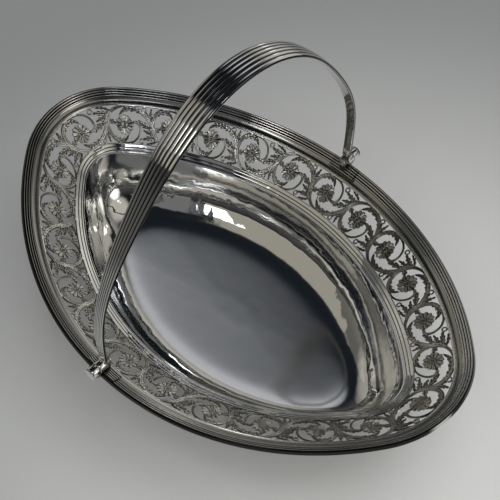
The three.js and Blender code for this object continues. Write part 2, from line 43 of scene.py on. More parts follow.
# the basket's outline, as in the CAD: a pointed oval of four arcs whose ends rise. The border drops by the
# slope for each millimetre inward, and is steeper towards the tips
rimShape = {"halfLength": 185, "halfWidth": 126.3, "tipRadius": 71.4, "height": 84, "rise": 23.6,
            "risePower": 2.4, "slope": 0.637, "endTurn": 0.0556 * math.pi}
sheet = 0.9      # thickness of the silver


def ovalOf(halfLength, halfWidth, tipRadius):
    square = halfLength ** 2 + halfWidth ** 2 - 2 * halfLength * tipRadius
    sideRadius = square / (2 * (halfWidth - tipRadius))
    tipCentre = halfLength - tipRadius
    sideCentre = sideRadius - halfWidth
    return {"tip": tipRadius, "side": sideRadius, "tipCentre": tipCentre, "sideCentre": sideCentre,
            "turn": math.atan2(sideCentre, tipCentre)}


def ovalAt(shape, angles):      # points whose outward normal makes these angles with +X
    c, s = np.cos(angles), np.sin(angles)
    flat = np.arctan2(np.abs(s), np.abs(c))
    onTip = flat < shape["turn"]
    x = np.where(onTip, np.sign(c) * shape["tipCentre"] + shape["tip"] * c, shape["side"] * c)
    y = np.where(onTip, shape["tip"] * s, shape["side"] * s - np.sign(s) * shape["sideCentre"])
    return x, y


rimOval = ovalOf(rimShape["halfLength"], rimShape["halfWidth"], rimShape["tipRadius"])


def borderAt(angles, inset, lift):      # millimetres in from the rim and off the slope, to metres
    angles, inset, lift = np.broadcast_arrays(np.asarray(angles, float), inset, lift)
    x, y = ovalAt(rimOval, angles)
    nearTip = np.abs(x / rimShape["halfLength"]) ** rimShape["risePower"]
    drop = math.atan(rimShape["slope"]) + rimShape["endTurn"] * nearTip
    width = inset * math.hypot(1, rimShape["slope"])
    inward = width * np.cos(drop) + lift * np.sin(drop)
    level = rimShape["height"] + rimShape["rise"] * nearTip - width * np.sin(drop) + lift * np.cos(drop)
    return np.stack([x - np.cos(angles) * inward, y - np.sin(angles) * inward, level], -1) * mm


middle = 24.6      # inset of the middle of the pierced band
tipRun = (rimOval["tip"] - middle) * rimOval["turn"]
sideRun = (rimOval["side"] - middle) * (math.pi / 2 - rimOval["turn"])
quarterRun = tipRun + sideRun
flowerCount = 24
flowersPerPanel = 3
repeat = 4 * quarterRun / flowerCount      # length of one flower's stretch


def angleAt(length):      # normal angle at a length along the middle of the band, from the +X tip
    quarter = np.floor(length / quarterRun)
    rest = length - quarter * quarterRun
    mirrored = np.abs(quarter % 2) == 1
    fromTip = np.where(mirrored, quarterRun - rest, rest)
    onSide = rimOval["turn"] + (fromTip - tipRun) / (rimOval["side"] - middle)
    turn = np.where(fromTip < tipRun, fromTip / (rimOval["tip"] - middle), onSide)
    start = quarter * math.pi / 2
    return np.where(mirrored, start + math.pi / 2 - turn, start + turn)


def evenAngles(count):      # stations at equal lengths round the basket
    return angleAt(np.arange(count) / count * 4 * quarterRun)


def clearSelection():
    if bpy.context.object and bpy.context.object.mode != "OBJECT":
        bpy.ops.object.mode_set(mode="OBJECT")
    bpy.ops.object.select_all(action="DESELECT")


def meshPiece(name, points, faces, tone=None):      # tone: 1 on bright metal, 0 in the darkest groove
    mesh = bpy.data.meshes.new(name)
    mesh.from_pydata([tuple(p) for p in points], [], [tuple(f) for f in faces])
    mesh.update()
    if tone is not None:
        layer = mesh.attributes.new("relief", "FLOAT", "POINT")
        layer.data.foreach_set("value", np.asarray(tone, np.float32))
    piece = bpy.data.objects.new(name, mesh)
    bpy.context.scene.collection.objects.link(piece)
    return piece


def smoothAt(piece, degrees):
    clearSelection()
    piece.select_set(True)
    bpy.context.view_layer.objects.active = piece
    bpy.ops.object.shade_smooth_by_angle(angle=math.radians(degrees))


def faceOut(piece):
    bm = bmesh.new()
    bm.from_mesh(piece.data)
    bmesh.ops.recalc_face_normals(bm, faces=bm.faces)
    bm.to_mesh(piece.data)
    bm.free()


# sections are stations x outline points x 3, in metres. The tones are for one outline or for all the points
def sweep(name, sections, closed, tone=None):
    stations, size = sections.shape[:2]
    here = np.arange(stations if closed else stations - 1)
    step = (here + 1) % stations
    i = np.arange(size)
    j = (i + 1) % size
    corners = [(here, i), (here, j), (step, j), (step, i)]
    faces = np.stack([(at[:, None] * size + k).ravel() for at, k in corners], 1).tolist()
    if not closed:
        faces.append(list(range(size))[::-1])
        faces.append([(stations - 1) * size + k for k in range(size)])
    tones = None if tone is None else np.resize(tone, stations * size)
    piece = meshPiece(name, sections.reshape(-1, 3), faces, tones)
    faceOut(piece)
    smoothAt(piece, 50)
    return piece


# the camera stands where the photograph was taken, in metres and pixels of the photograph
cameraFit = {"place": (0.2529, -0.2794, 0.6210), "focal": 928.13, "centre": (242.99, 249.68), "picture": 500,
             "rows": ((0.7253, 0.6879, 0.0277), (0.5712, -0.5787, -0.5821), (-0.3844, 0.438, -0.8127)),
             "nearest": 0.01}
camera = bpy.data.objects.new("camera", bpy.data.cameras.new("camera"))
bpy.context.scene.collection.objects.link(camera)
right, down, ahead = (Vector(row).normalized() for row in cameraFit["rows"])
facing = Matrix((right, -down, -ahead)).transposed().to_4x4()
camera.matrix_world = Matrix.Translation(cameraFit["place"]) @ facing
camera.data.lens = cameraFit["focal"] * camera.data.sensor_width / cameraFit["picture"]
camera.data.shift_x = 0.5 - cameraFit["centre"][0] / cameraFit["picture"]
camera.data.shift_y = cameraFit["centre"][1] / cameraFit["picture"] - 0.5
camera.data.clip_start = cameraFit["nearest"]
bpy.context.scene.camera = camera

# silvers: light colour, groove colour, and between which tones a groove turns dark (none where the piece has
# no tones), roughness and how much it varies, height in millimetres and fineness of the waves and ripples
silvers = {
    "polishedSilver": {"light": (0.86, 0.855, 0.84), "roughness": 0.06, "wear": 0.03,
                       "wave": 1.1, "waveScale": 15},
    "bowlSilver": {"light": (0.84, 0.84, 0.83), "dark": (0.05, 0.05, 0.05), "grooves": (0.1, 0.9),
                   "roughness": 0.03, "wear": 0.03, "wave": 1.5, "waveScale": 19,
                   "ripple": 0.22, "rippleScale": 90, "calmBelow": (18, 25), "calm": 0.06, "floorHaze": 0.09},
    "reededSilver": {"light": (0.80, 0.79, 0.76), "dark": (0.02, 0.018, 0.016), "grooves": (0.3, 1.0),
                     "roughness": 0.05, "wear": 0.03, "wave": 0.2, "waveScale": 40},
    "handleSilver": {"light": (0.88, 0.875, 0.86), "dark": (0.012, 0.012, 0.012), "grooves": (0.3, 0.92),
                     "roughness": 0.04, "wear": 0.03, "wave": 0.25, "waveScale": 30},
    "engravedSilver": {"light": (0.80, 0.785, 0.75), "dark": (0.025, 0.022, 0.018), "grooves": (0.02, 1.0),
                       "roughness": 0.13, "wear": 0.06, "wave": 0.2, "waveScale": 60},
    "barrelSilver": {"light": (0.86, 0.85, 0.83), "roughness": 0.07, "wear": 0.03,
                     "wave": 0.1, "waveScale": 60},
    # a dark silver for the inner knuckle: painted shade of the gap round the pin head
    "gapShadeSilver": {"light": (0.28, 0.25, 0.19), "roughness": 0.25, "wear": 0.05,
                        "wave": 0.2, "waveScale": 80},
    "wornSilver": {"light": (0.66, 0.62, 0.54), "roughness": 0.22, "wear": 0.05,
                   "wave": 0.2, "waveScale": 80},
}
cloud = {"scale": 14, "detail": 4, "darker": 0.94}      # faint clouds in the colour
wear = {"scale": 60, "detail": 6}                       # where the polish is duller
waveDetail, rippleDetail = 2.5, 1.5


def newMaterial(name):
    material = bpy.data.materials.new(name)
    material.use_nodes = True
    nodes = material.node_tree.nodes
    return material, nodes, material.node_tree.links, nodes["Principled BSDF"]


def noiseOf(nodes, links, scale, detail):
    coords = nodes.new("ShaderNodeTexCoord")
    noise = nodes.new("ShaderNodeTexNoise")
    noise.inputs["Scale"].default_value = scale
    noise.inputs["Detail"].default_value = detail
    links.new(coords.outputs["Object"], noise.inputs["Vector"])
    return noise.outputs["Fac"]


def rangeOf(nodes, links, value, fromRange, toRange=(0, 1), smooth=False):
    node = nodes.new("ShaderNodeMapRange")
    node.interpolation_type = "SMOOTHSTEP" if smooth else "LINEAR"
    node.inputs["From Min"].default_value, node.inputs["From Max"].default_value = fromRange
    node.inputs["To Min"].default_value, node.inputs["To Max"].default_value = toRange
    links.new(value, node.inputs["Value"])
    return node.outputs["Result"]


def mixOf(nodes, links, share, first, second, blend="MIX"):      # each colour is a socket or three numbers
    node = nodes.new("ShaderNodeMix")
    node.data_type = "RGBA"
    node.blend_type = blend
    links.new(share, node.inputs["Factor"])
    for name, colour in (("A", first), ("B", second)):
        if isinstance(colour, tuple):
            node.inputs[name].default_value = (*colour, 1)
        else:
            links.new(colour, node.inputs[name])
    return node.outputs["Result"]


def mathOf(nodes, links, operation, *values):      # each value is a socket or a number
    node = nodes.new("ShaderNodeMath")
    node.operation = operation
    for socket, value in zip(node.inputs, values):
        if isinstance(value, float):
            socket.default_value = value
        else:
            links.new(value, socket)
    return node.outputs[0]


def silverMaterial(name):
    look = silvers[name]
    material, nodes, links, shader = newMaterial(name)
    shader.inputs["Metallic"].default_value = 1.0
    clouded = tuple(cloud["darker"] * c for c in look["light"])
    clouds = noiseOf(nodes, links, cloud["scale"], cloud["detail"])
    colour = mixOf(nodes, links, clouds, look["light"], clouded)
    if "grooves" in look:
        tone = nodes.new("ShaderNodeAttribute")
        tone.attribute_name = "relief"
        height = rangeOf(nodes, links, tone.outputs["Fac"], look["grooves"])
        colour = mixOf(nodes, links, height, look["dark"], colour)
    links.new(colour, shader.inputs["Base Color"])
    worn = (look["roughness"], look["roughness"] + look["wear"])
    roughness = rangeOf(nodes, links, noiseOf(nodes, links, wear["scale"], wear["detail"]), (0, 1), worn)
    bump = nodes.new("ShaderNodeBump")
    bump.inputs["Distance"].default_value = look["wave"] * mm
    bump.inputs["Strength"].default_value = 1.0
    if "calmBelow" in look:      # the floor is flatter than the wall, which is waved from the hammer
        parts = nodes.new("ShaderNodeSeparateXYZ")
        links.new(nodes.new("ShaderNodeTexCoord").outputs["Object"], parts.inputs[0])
        heights = tuple(level * mm for level in look["calmBelow"])
        strength = rangeOf(nodes, links, parts.outputs["Z"], heights, (look["calm"], 1.0), True)
        links.new(strength, bump.inputs["Strength"])
        haze = rangeOf(nodes, links, parts.outputs["Z"], heights, (look["floorHaze"], 0), True)
        roughness = mathOf(nodes, links, "ADD", roughness, haze)
    links.new(roughness, shader.inputs["Roughness"])
    wave = noiseOf(nodes, links, look["waveScale"], waveDetail)
    if "ripple" in look:
        ripple = noiseOf(nodes, links, look["rippleScale"], rippleDetail)
        wave = mathOf(nodes, links, "MULTIPLY_ADD", ripple, look["ripple"], wave)
    links.new(wave, bump.inputs["Height"])
    links.new(bump.outputs["Normal"], shader.inputs["Normal"])
    return material


silver = {name: silverMaterial(name) for name in silvers}


def dress(piece, material, slot, body, *nodes):
    piece.data.materials.clear()
    piece.data.materials.append(silver[material])
    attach(piece, body)
    if nodes:
        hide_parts(*nodes)


# the pierced and engraved border. One flower's stretch is drawn flat, as points of x, y and half width, cut
# from a fine grid and bent round the basket. Its silver carries a painted shade round one flower, with the
# reach in flowers
scroll = {
    "halfHeight": 13.2, "edgeStrip": 0.8, "stripHeight": 0.3, "drawnRepeat": 34.0,
    "tone": 0.85, "toneFrom": 0.07, "toneSpan": 0.24, "flowerShade": 0.47, "flowerShadeAt": 4, "flowerShadeReach": 3.2,
    "stem": [(-22, 1.5, 1.4), (-18, -4.2, 1.3), (-12.8, -9.4, 1.15), (-5.8, -12.1, 0.9), (1.8, -12.0, 0.9),
             (8.0, -9.0, 1.2), (11.3, -5.0, 1.6), (12.5, -1.3, 1.9)],
    "ring": [(-8.2, -1.8, 0.8), (-10.8, -0.8, 1.0), (-11.7, 3.2, 0.8), (-9.6, 8.2, 0.7), (-4.8, 11.5, 0.7),
             (1.6, 12.2, 0.85), (7.8, 10.2, 1.0), (11.4, 5.6, 1.2), (12.7, 1.0, 1.6)],
    "leaves": [      # points, number of teeth, and the side the teeth are on
        ([(-22.5, 1.6, 0.9), (-17.2, 0.5, 2.0), (-12.6, -1.4, 1.9), (-8.8, -2.0, 1.3),
          (-5.6, -1.6, 0.5)], 4, 0),
        ([(-20.5, -2.0, 0.5), (-16.0, -6.6, 1.3), (-11.0, -9.6, 1.8), (-6.0, -10.6, 1.9), (-2.0, -10.2, 1.7),
          (1.2, -8.4, 1.1), (3.4, -6.4, 0.3)], 6, 1),
        ([(12.4, 3.4, 0.7), (10.6, 7.2, 1.5), (7.0, 10.0, 1.9), (2.8, 10.6, 1.8), (-0.4, 9.2, 1.2),
          (-2.6, 6.6, 0.3)], 5, 1),
        ([(13.4, -2.0, 1.6), (10.8, -2.6, 2.1), (8.2, -1.6, 1.7), (5.8, -0.2, 0.6)], 3, 0),
        ([(8.2, -8.6, 0.8), (12.2, -7.4, 1.9), (16.0, -8.0, 1.8), (20.4, -8.9, 0.6)], 4, 0),
        ([(12.0, -4.2, 1.2), (15.6, -4.4, 1.6), (20.0, -3.0, 0.4)], 3, 0),
        ([(9.6, -9.6, 0.6), (13.2, -11.1, 1.1), (17.6, -11.9, 0.4)], 3, 0),
        ([(12.9, -0.5, 1.2), (14.3, 4.6, 2.0), (13.6, 11.6, 0.5)], 5, 0),
        ([(13.8, 2.6, 1.0), (16.4, 6.6, 1.4), (17.9, 9.0, 0.6)], 3, 0),
    ],
    "eyelets": [(21.6, -10.3), (18.7, 10.5)],
}
# a leaf has teeth along its edge, a rounded back, a vein down the middle and a rib into each tooth
leaf = {"lift": 0.02, "toothLean": 0.55, "toothStart": 0.15, "toothRise": 0.8, "narrow": 0.52,
        "toothDepth": 0.6, "back": 0.36, "backPower": 0.7, "vein": 0.3, "veinWidth": 0.3,
        "rib": 0.24, "ribWidth": 0.2, "ribLean": 0.7, "ribStart": 0.12}
# a flower has domed petals with a fold between each two, and a button with rings and cuts
flowerHead = {"radius": 6.8, "petals": 12, "petalCut": 0.2, "cutPower": 0.6, "edge": 0.85, "lift": 0.06,
              "dome": 0.44, "domePower": 0.8, "domeMiddle": 4.6, "domeReach": 3.0,
              "fold": 0.26, "foldWidth": 0.035, "foldStart": 2.8, "foldEnd": 6.0,
              "button": 2.3, "buttonHeight": 0.22, "ring": 0.14, "ringPitch": 4.2, "cut": 0.16, "cuts": 6}
eyelet = {"hole": 0.95, "wire": 1.0, "height": 0.25, "lift": 0.08}
# points at the edge of a kept cell move on to the drawn edge, in steps of at most this share of a cell
drawing = {"columns": 140, "rows": 108, "rounds": 2, "step": 0.45, "probe": 0.05, "leastSlope": 0.25}


def through(points, steps=8):      # a smooth line through points of x, y and half width
    p = np.array(points, float)
    p = np.vstack([2 * p[0] - p[1], p, 2 * p[-1] - p[-2]])
    line = []
    for i in range(1, len(p) - 2):
        a, b, c, d = p[i - 1:i + 3]
        for t in np.arange(steps) / steps:
            square, cube = 2 * a - 5 * b + 4 * c - d, 3 * b - a - 3 * c + d
            line.append(0.5 * (2 * b + (c - a) * t + square * t ** 2 + cube * t ** 3))
    return np.array(line + [p[-2]])


def leafField(x, y, points, teeth, side):      # inside distance and height of one leaf or stem
    line = through(points)
    far = np.full(x.shape, 1e9)
    along, across, width = np.zeros(x.shape), np.zeros(x.shape), np.zeros(x.shape)
    lengths = np.concatenate([[0], np.cumsum(np.hypot(*np.diff(line[:, :2], axis=0).T))])
    for i in range(len(line) - 1):
        a, b = line[i], line[i + 1]
        e = b[:2] - a[:2]
        t = np.clip(((x - a[0]) * e[0] + (y - a[1]) * e[1]) / max(e @ e, 1e-9), 0, 1)
        dx, dy = x - a[0] - t * e[0], y - a[1] - t * e[1]
        d = np.hypot(dx, dy)
        near = d < far
        far = np.where(near, d, far)
        along = np.where(near, lengths[i] + t * (lengths[i + 1] - lengths[i]), along)
        across = np.where(near, np.sign(e[0] * dy - e[1] * dx) * d, across)
        width = np.where(near, a[2] + t * (b[2] - a[2]), width)
    share = along / lengths[-1]
    plain = np.maximum(width, 0.05)
    if teeth:
        phase = share * teeth - leaf["toothLean"] * far * teeth / lengths[-1] + leaf["toothStart"]
        tooth = phase - np.floor(phase)
        rise = leaf["toothRise"]
        notch = np.where(tooth < rise, tooth / rise, (1 - tooth) / (1 - rise))
        jagged = (np.sign(across) == side) | (side == 0)
        width = width * np.where(jagged, leaf["narrow"] + leaf["toothDepth"] * notch, 1.0)
    s = np.clip(across / plain, -1.2, 1.2)
    height = leaf["back"] * np.clip(1 - s ** 2, 0, 1) ** leaf["backPower"]
    height = height - leaf["vein"] * np.exp(-(across / leaf["veinWidth"]) ** 2)
    if teeth:
        rib = share * teeth * 2 - leaf["ribLean"] * np.abs(s)
        groove = np.exp(-((rib - np.round(rib)) / leaf["ribWidth"]) ** 2)
        height = height - leaf["rib"] * groove * (np.abs(s) > leaf["ribStart"])
    return width - far, height


def flowerField(x, y):
    f = flowerHead
    r, a = np.hypot(x, y), np.arctan2(y, x)
    wave = np.abs(np.cos(a * f["petals"] / 2))
    dome = f["dome"] * wave ** f["domePower"]
    dome = dome * np.sqrt(np.clip(1 - ((r - f["domeMiddle"]) / f["domeReach"]) ** 2, 0, 1))
    folded = (r > f["foldStart"]) & (r < f["foldEnd"])
    dome = dome - f["fold"] * np.exp(-(1 - wave) / f["foldWidth"]) * folded
    button = f["buttonHeight"] + f["ring"] * np.cos(r * f["ringPitch"])
    button = button - f["cut"] * (1 - np.abs(np.cos(a * f["cuts"])))
    outline = f["radius"] * (1 - f["petalCut"] + f["petalCut"] * wave ** f["cutPower"])
    return (outline - r) * f["edge"], np.where(r < f["button"], button, dome) + f["lift"]


def scrollField(x, y):      # inside distance and height of the ornament round one flower, its stem below it
    s = scroll
    inside, height = np.full(x.shape, -9.0), np.zeros(x.shape)

    def add(d, h):
        nonlocal inside, height
        height = np.where((d > 0) & ((h > height) | (inside <= 0)), h, height)
        inside = np.maximum(inside, d)

    shifts = [(-s["drawnRepeat"], -1), (0, 1), (s["drawnRepeat"], -1)]      # each next flower is turned over
    for shift, flip in shifts:
        for points, teeth, side in [(s["stem"], 0, 0), (s["ring"], 0, 0), *s["leaves"]]:
            placed = [(px + shift, flip * py, w) for px, py, w in points]
            d, h = leafField(x, y, placed, teeth, side * flip)
            add(d, h + leaf["lift"])
    half = eyelet["wire"] / 2
    for shift, flip in shifts:
        for ex, ey in s["eyelets"]:
            r = np.hypot(x - ex - shift, y - flip * ey)
            off = (r - eyelet["hole"]) / half - 1
            bead = eyelet["height"] * np.sqrt(np.clip(1 - off ** 2, 0, 1))
            add(half * (1 - np.abs(off)), bead + eyelet["lift"])
            inside = np.minimum(inside, r - eyelet["hole"])
    add(*flowerField(x, y))
    strip = np.abs(y) - (s["halfHeight"] - s["edgeStrip"])
    height = np.where(strip > 0, np.maximum(height, s["stripHeight"]), height)
    return np.maximum(inside, strip), height


def scrollGrid():      # one repeat: its grid points, their heights, and the cells that stay
    xs = np.linspace(-repeat / 2, repeat / 2, drawing["columns"] + 1)
    ys = np.linspace(-scroll["halfHeight"], scroll["halfHeight"], drawing["rows"] + 1)
    x, y = np.meshgrid(xs, ys, indexing="ij")
    scale = scroll["drawnRepeat"] / repeat
    cx, cy = (x[1:, 1:] + x[:-1, 1:]) / 2, (y[1:, 1:] + y[1:, :-1]) / 2
    keep = scrollField(cx * scale, cy)[0] > 0
    near = np.zeros(x.shape, int)
    for di in (0, 1):
        for dj in (0, 1):
            near[di:di + keep.shape[0], dj:dj + keep.shape[1]] += keep
    full = np.full(x.shape, 4)
    full[[0, -1], :] = 2
    onEdge = (near > 0) & (near < full)
    onEdge[:, [0, -1]] = False
    cell = repeat / drawing["columns"]
    e = drawing["probe"]
    for _ in range(drawing["rounds"]):
        inside = scrollField(x * scale, y)[0]
        gx = (scrollField((x + e) * scale, y)[0] - scrollField((x - e) * scale, y)[0]) / (2 * e)
        gy = (scrollField(x * scale, y + e)[0] - scrollField(x * scale, y - e)[0]) / (2 * e)
        size = np.maximum(gx ** 2 + gy ** 2, drawing["leastSlope"])
        mx, my = -inside * gx / size, -inside * gy / size
        reach = np.maximum(np.hypot(mx, my) / (drawing["step"] * cell), 1)
        mx[[0, -1], :] = 0
        x = np.where(onEdge, x + mx / reach, x)
        y = np.where(onEdge, y + my / reach, y)
    return x, y, scrollField(x * scale, y)[1], keep


# the plain part outside the piercing: a hollow inside the rim, then a fine raised line. Each stretch across
# it is given as start, end and number of points
band = {"stretches": ((1.5, 6.0, 4), (6.3, 10.3, 15), (10.45, 11.4, 8)), "end": 11.4, "overlap": 0.06,
        "hollowStart": 6.2, "hollowWidth": 3.9, "hollowDepth": 0.42, "hollowShade": 0.45,
        "line": 10.75, "lineWidth": 0.28, "lineHeight": 0.22}


def bandLift(inset):
    hollow = np.sin(np.clip((inset - band["hollowStart"]) / band["hollowWidth"], 0, 1) * math.pi)
    line = np.exp(-((inset - band["line"]) / band["lineWidth"]) ** 2)
    return band["lineHeight"] * line - band["hollowDepth"] * hollow


gridX, gridY, gridHeight, gridKeep = scrollGrid()
print("scroll drawn: cells", gridKeep.size, "kept", int(gridKeep.sum()))
plainInsets = np.concatenate([np.linspace(*stretch) for stretch in band["stretches"]])[:-1]


def panelGrid(index):      # length along the border, inset, height and kept cells of one panel
    lengths, insets, heights, keeps = [], [], [], []
    first = flowersPerPanel * index - 1
    for flower in range(first, first + flowersPerPanel):
        x, y, h, keep = gridX, gridY, gridHeight, gridKeep
        if flower % 2:
            x, y, h, keep = x[:, ::-1], -y[:, ::-1], h[:, ::-1], keep[:, ::-1]
        last = None if flower == first + flowersPerPanel - 1 else -1
        lengths.append(x[:last, ::-1] + flower * repeat)
        insets.append(middle - y[:last, ::-1])
        heights.append(h[:last, ::-1])
        keeps.append(keep[:, ::-1])
    u, inset, h, keep = (np.vstack(rows) for rows in (lengths, insets, heights, keeps))
    extra = len(plainInsets)
    u = np.hstack([np.repeat(u[:, :1], extra, axis=1), u])
    inset = np.hstack([np.repeat(plainInsets[None, :], len(inset), axis=0), inset])
    h = np.hstack([np.zeros((len(h), extra)), h])
    keep = np.hstack([np.ones((len(keep), extra), bool), keep])
    return u, inset, h, keep


def borderPanel(index):
    u, inset, h, keep = panelGrid(index)
    base = bandLift(inset)
    top = borderAt(angleAt(u), inset, base + h - band["overlap"])
    under = borderAt(angleAt(u), inset, base - sheet)
    nu, nv = u.shape
    number = np.arange(nu * nv).reshape(nu, nv)
    cells = np.stack([number[:-1, :-1], number[1:, :-1], number[1:, 1:], number[:-1, 1:]], -1)[keep]
    below = nu * nv
    faces = [cells, cells[:, ::-1] + below]
    padded = np.pad(keep, 1)
    edges = [(padded[:-1, 1:-1], padded[1:, 1:-1], number[:, :-1], number[:, 1:]),
             (padded[1:-1, 1:], padded[1:-1, :-1], number[:-1, :], number[1:, :])]
    for before, after, p, q in edges:      # walls of the piercing, between a kept cell and an open one
        for mask, first, second in ((after & ~before, p, q), (before & ~after, q, p)):
            m, n = first[mask], second[mask]
            faces.append(np.stack([m, n, n + below, m + below], -1))
    faces = np.vstack(faces)
    points = np.vstack([top.reshape(-1, 3), under.reshape(-1, 3)])
    strip = scroll["edgeStrip"]
    plain = (inset < band["end"] + strip) | (inset > middle + scroll["halfHeight"] - strip)
    # painted shade: the engraved silver is painted darker round one flower
    away = (u / repeat - scroll["flowerShadeAt"] + flowerCount / 2) % flowerCount - flowerCount / 2
    engravedTone = scroll["tone"] - scroll["flowerShade"] * np.exp(-(away / scroll["flowerShadeReach"]) ** 2)
    engravedTone = engravedTone * np.clip((h - scroll["toneFrom"]) / scroll["toneSpan"], 0, 1)
    # painted shade: the hollow inside the rim is painted darker towards its deepest point
    shadedHollow = 1 + (band["hollowShade"] - 1) * np.sqrt(np.clip(-base / band["hollowDepth"], 0, 1))
    tone = np.concatenate([np.where(plain, shadedHollow, engravedTone).ravel(), np.ones(below)])
    used, back = np.unique(faces, return_inverse=True)
    piece = meshPiece(f"borderPanel{index + 1}", points[used], back.reshape(faces.shape), tone[used])
    smoothAt(piece, 40)
    return piece


for index in range(flowerCount // flowersPerPanel):
    panel = borderPanel(index)
    dress(panel, "engravedSilver", "engraved_silver", "basket", f"border_panel_{index + 1}")
print("border: panels made, faces in the last", len(panel.data.polygons))

# reeded rim wire, in two halves that meet under the hinges. Its silver is painted darker on one side, a
# painted shade given in degrees round the oval
rim = {"width": 6.4, "reeds": 3, "reedWidth": 1.6, "reedShare": 0.97, "reedBase": 0.75, "reedHeight": 0.8,
       "reedSteps": 8, "reedEnds": 0.06, "fillet": 5.6, "filletHalf": 0.78, "filletBase": 0.35,
       "filletHeight": 0.65, "filletSteps": 6, "filletEnds": 0.05, "skirt": 1.7, "cover": 1.15, "edge": 0.1,
       "skirtTone": 0.6, "lipTone": 0.5, "footTone": 0.4, "stations": 260, "joint": 0.4,
       "sideShade": 0.42, "sideShadeAt": 240, "sideShadeReach": 55}


# points over one reed, each with its tone. The ends are the share of the half circle left off each side
def reedArc(centre, half, base, height, steps, ends):
    arc = []
    for k in range(steps + 1):
        a = math.pi * (ends + (1 - 2 * ends) * k / steps)
        arc.append((centre - half * math.cos(a), base + height * math.sin(a), math.sin(a) ** 2))
    return arc


def reedsOf(count, half, shape):      # a row of reeds, each with the same half width
    row = []
    for i in range(count):
        row += reedArc(half * (2 * i + 1), shape["reedShare"] * half, shape["reedBase"], shape["reedHeight"],
                       rim["reedSteps"], rim["reedEnds"])
    return row


def rimOutline():
    outline = [(0.0, -rim["skirt"], rim["skirtTone"]), (0.0, 2 * rim["edge"], rim["lipTone"])]
    outline += reedsOf(rim["reeds"], rim["reedWidth"] / 2, rim)
    outline += reedArc(rim["fillet"], rim["filletHalf"], rim["filletBase"], rim["filletHeight"],
                       rim["filletSteps"], rim["filletEnds"])
    outline += [(rim["width"], rim["edge"], rim["footTone"]), (rim["cover"], rim["edge"], rim["footTone"]),
                (rim["cover"], -rim["skirt"], rim["skirtTone"])]
    return np.array(outline)


def rimWire(name, centre, node):
    outline = rimOutline()
    cut = rim["joint"] / 2 / rimOval["side"]
    lengths = np.linspace(-quarterRun, quarterRun, rim["stations"] + 1)
    angles = np.clip(angleAt(lengths), cut - math.pi / 2, math.pi / 2 - cut) + centre
    sections = borderAt(angles[:, None], outline[None, :, 0], outline[None, :, 1])
    # painted shade: the wire's silver is painted darker on one side of the oval
    off = (np.degrees(angles) - rim["sideShadeAt"] + 180) % 360 - 180
    bright = 1 - rim["sideShade"] * np.exp(-(off / rim["sideShadeReach"]) ** 2)
    piece = sweep(name, sections, False, bright[:, None] * outline[:, 2])
    dress(piece, "reededSilver", "reeded_silver", "basket", node)


rimWire("rimWireRight", 0.0, "rim_wire_right")
rimWire("rimWireLeft", math.pi, "rim_wire_left")
print("rim: reeded wire made")

# the bowl: flange with thread lines and an edge bead, full wall, and an oval floor that runs softly into it
bowl = {"flangeStart": 37.8, "edge": 44.4, "bead": 43.75, "beadWidth": 0.38, "beadHeight": 0.42,
        "threads": (39.7, 41.9), "threadWidth": 0.2, "threadDepth": 0.22, "threadTone": 0.9,
        "floorDepth": 65.5, "floorHalfLength": 100, "floorHalfWidth": 46.8, "floorTip": 25, "floorDish": 1.3,
        "lastRing": 0.08, "stations": 420, "flangeRings": 56, "wallRings": 44, "floorRings": 16,
        "softening": 24}


def bowlRings():      # rings of points from the flange to near the middle of the floor, with their tones
    angles = evenAngles(bowl["stations"])
    floorLevel = rimShape["height"] - bowl["floorDepth"]
    insets = np.linspace(bowl["flangeStart"], bowl["edge"], bowl["flangeRings"])
    cuts = sum(np.exp(-((insets - thread) / bowl["threadWidth"]) ** 2) for thread in bowl["threads"])
    bead = bowl["beadHeight"] * np.exp(-((insets - bowl["bead"]) / bowl["beadWidth"]) ** 2)
    rings = [borderAt(angles, i, lift) for i, lift in zip(insets, bead - bowl["threadDepth"] * cuts)]
    edge = rings[-1]
    floorOval = ovalOf(bowl["floorHalfLength"], bowl["floorHalfWidth"], bowl["floorTip"])
    fx, fy = ovalAt(floorOval, angles)
    floor = np.stack([fx, fy, np.full(len(fx), floorLevel)], -1) * mm
    for turn in np.linspace(0, math.pi / 2, bowl["wallRings"] + 1)[1:]:
        ring = edge + (floor - edge) * (1 - math.cos(turn))
        ring[:, 2] = edge[:, 2] + (floor[:, 2] - edge[:, 2]) * math.sin(turn)
        rings.append(ring)
    for share in np.linspace(1, bowl["lastRing"], bowl["floorRings"] + 1)[1:]:
        ring = floor.copy()
        ring[:, :2] *= share
        ring[:, 2] -= bowl["floorDish"] * (1 - share ** 2) * mm
        rings.append(ring)
    rings = np.array(rings)
    start = bowl["flangeRings"] + bowl["wallRings"] // 2
    for _ in range(bowl["softening"]):
        part = rings[start:-2]
        part[1:-1] = 0.5 * part[1:-1] + 0.25 * (part[:-2] + part[2:])
    tone = np.ones(len(rings))
    tone[:bowl["flangeRings"]] = 1 - bowl["threadTone"] * np.clip(cuts, 0, 1)
    return rings, tone, floorLevel - bowl["floorDish"]


